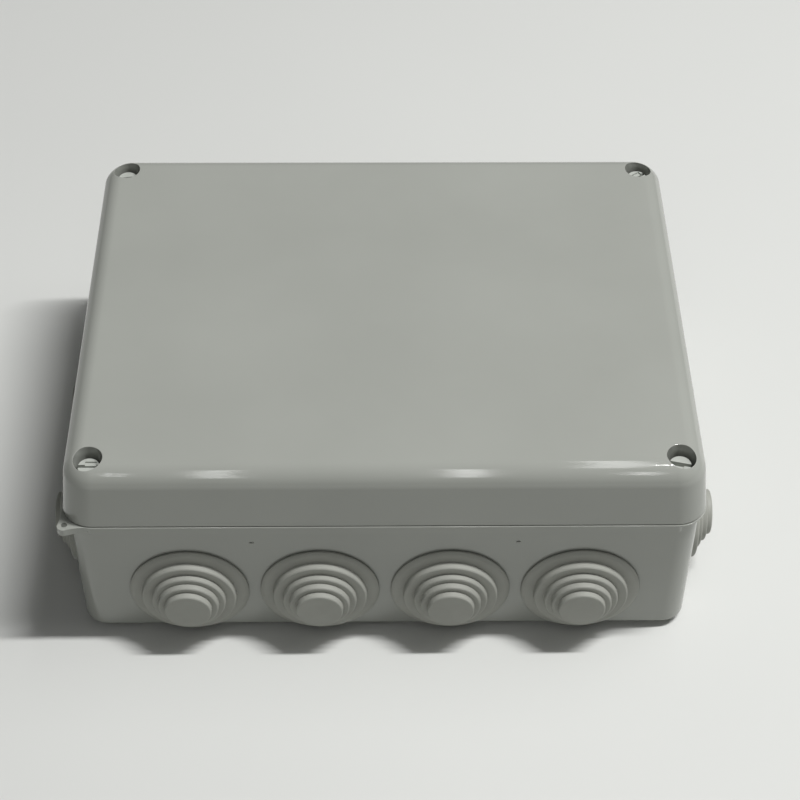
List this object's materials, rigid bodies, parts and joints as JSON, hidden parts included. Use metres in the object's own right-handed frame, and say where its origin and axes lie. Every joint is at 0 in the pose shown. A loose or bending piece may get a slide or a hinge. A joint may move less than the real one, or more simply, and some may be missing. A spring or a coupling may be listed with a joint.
{
  "type": "electrical junction box",
  "caption": "Rectangular surface-mounting junction box with a lift-off screwed lid, stepped cable grommets on every wall and a flat back.",
  "frame": {"origin": "on the mounting surface, under the middle of the box", "axes": "+Z out of the mounting surface through the lid, +X along the long side, the front wall faces -Y"},
  "size_m": [0.2752, 0.2202, 0.095],
  "materials": {
    "housing": "light grey moulded plastic, satin",
    "grommet": "light grey soft plastic",
    "seal": "dark soft rubber",
    "screw": "pale grey moulded plastic"
  },
  "bodies": {
    "base": {"base_shell": "housing", "grommet_front_1": "grommet", "grommet_front_2": "grommet", "grommet_front_3": "grommet", "grommet_front_4": "grommet", "grommet_rear_1": "grommet", "grommet_rear_2": "grommet", "grommet_rear_3": "grommet", "grommet_rear_4": "grommet", "grommet_left_1": "grommet", "grommet_left_2": "grommet", "grommet_right_1": "grommet", "grommet_right_2": "grommet"},
    "lid": {"lid": "housing", "lid_gasket": "seal", "screw_seal_front_left": "seal", "screw_seal_front_right": "seal", "screw_seal_rear_right": "seal", "screw_seal_rear_left": "seal"},
    "screw_front_left": {"lid_screw_front_left": "screw"},
    "screw_front_right": {"lid_screw_front_right": "screw"},
    "screw_rear_right": {"lid_screw_rear_right": "screw"},
    "screw_rear_left": {"lid_screw_rear_left": "screw"}
  },
  "joints": [
    {"name": "lid_lift", "type": "slide", "parent": "base", "child": "lid", "axis": [0, 0, 1], "range_m": [0, 0.08]},
    {"name": "screw_turn_front_left", "type": "hinge", "parent": "lid", "child": "screw_front_left", "pos_m": [-0.115, -0.0875, 0.088], "axis": [0, 0, 1], "continuous": true},
    {"name": "screw_turn_front_right", "type": "hinge", "parent": "lid", "child": "screw_front_right", "pos_m": [0.115, -0.0875, 0.088], "axis": [0, 0, 1], "continuous": true},
    {"name": "screw_turn_rear_right", "type": "hinge", "parent": "lid", "child": "screw_rear_right", "pos_m": [0.115, 0.0875, 0.088], "axis": [0, 0, 1], "continuous": true},
    {"name": "screw_turn_rear_left", "type": "hinge", "parent": "lid", "child": "screw_rear_left", "pos_m": [-0.115, 0.0875, 0.088], "axis": [0, 0, 1], "continuous": true}
  ]
}
